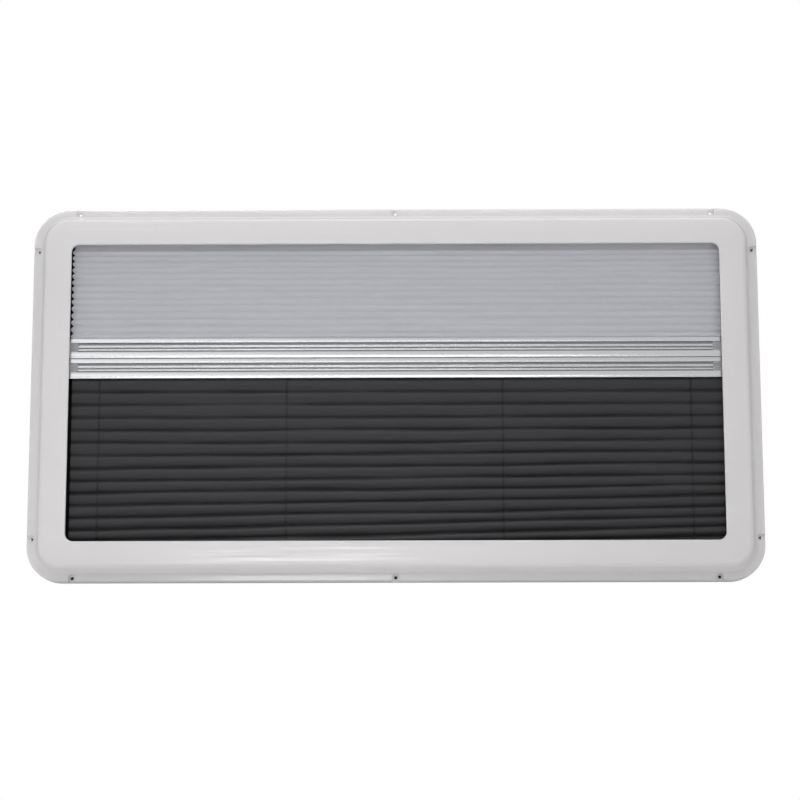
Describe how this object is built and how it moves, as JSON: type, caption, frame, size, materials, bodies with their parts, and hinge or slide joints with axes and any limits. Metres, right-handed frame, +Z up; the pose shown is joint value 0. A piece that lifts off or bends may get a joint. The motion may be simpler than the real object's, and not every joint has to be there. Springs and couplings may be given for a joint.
{
  "type": "caravan window",
  "caption": "Push-out caravan window with a rounded room-side frame, a pleated flyscreen and a pleated blackout blind on sliding grip rails.",
  "frame": {"origin": "on the flat back of the room-side frame's lower flange, at mid width, in the plane of the wall's inner face", "axes": "+X to the right seen from the room, +Y out of doors, +Z up"},
  "size_m": [0.94, 0.0875, 0.49],
  "materials": {
    "frame_plastic": "light grey moulded, soft gloss",
    "channel_plastic": "extruded, dark grey",
    "rail_aluminium": "satin anodised extrusion",
    "cap_plastic": "moulded, mid grey",
    "flyscreen_fabric": "pleated fine mesh, light grey",
    "blackout_fabric": "pleated coated cloth, dark grey",
    "cord": "braided, dark grey",
    "outer_aluminium": "powder coated, black",
    "seal_rubber": "extruded, black",
    "pane_acrylic": "formed acrylic, smoke tint",
    "fitting_plastic": "moulded, black",
    "stay_metal": "round tube and rod, brushed"
  },
  "bodies": {
    "window_frame": {"inner_frame": "frame_plastic", "guide_channel_left": "channel_plastic", "guide_channel_right": "channel_plastic", "head_channel": "channel_plastic", "sill_channel": "channel_plastic", "flyscreen_clip": "channel_plastic", "blackout_clip": "channel_plastic", "flyscreen": "flyscreen_fabric", "blackout_blind": "blackout_fabric", "tension_cords": "cord", "outer_frame": "outer_aluminium", "pane_seal": "seal_rubber", "inner_pane": "pane_acrylic", "outer_pane": "pane_acrylic", "hinge_hook": "outer_aluminium", "hinge_strip": "outer_aluminium", "stay_bracket_left": "fitting_plastic", "stay_bracket_right": "fitting_plastic", "stay_tube_left": "stay_metal", "stay_tube_right": "stay_metal", "stay_rod_left": "stay_metal", "stay_rod_right": "stay_metal", "stay_shoe_left": "fitting_plastic", "stay_shoe_right": "fitting_plastic", "latch_body_left": "fitting_plastic", "latch_body_right": "fitting_plastic", "latch_lever_left": "fitting_plastic", "latch_lever_right": "fitting_plastic", "latch_catch_left": "fitting_plastic", "latch_catch_right": "fitting_plastic"},
    "flyscreen_bar": {"flyscreen_rail": "rail_aluminium", "flyscreen_rail_cap_left": "cap_plastic", "flyscreen_rail_cap_right": "cap_plastic"},
    "blackout_bar": {"blackout_rail": "rail_aluminium", "blackout_rail_cap_left": "cap_plastic", "blackout_rail_cap_right": "cap_plastic"}
  },
  "joints": [
    {"name": "flyscreen_slide", "type": "slide", "parent": "window_frame", "child": "flyscreen_bar", "axis": [0, 0, 1], "range_m": [0, 0.116], "deforming": ["flyscreen"]},
    {"name": "blackout_slide", "type": "slide", "parent": "window_frame", "child": "blackout_bar", "axis": [0, 0, -1], "range_m": [0, 0.207], "deforming": ["blackout_blind"]}
  ]
}
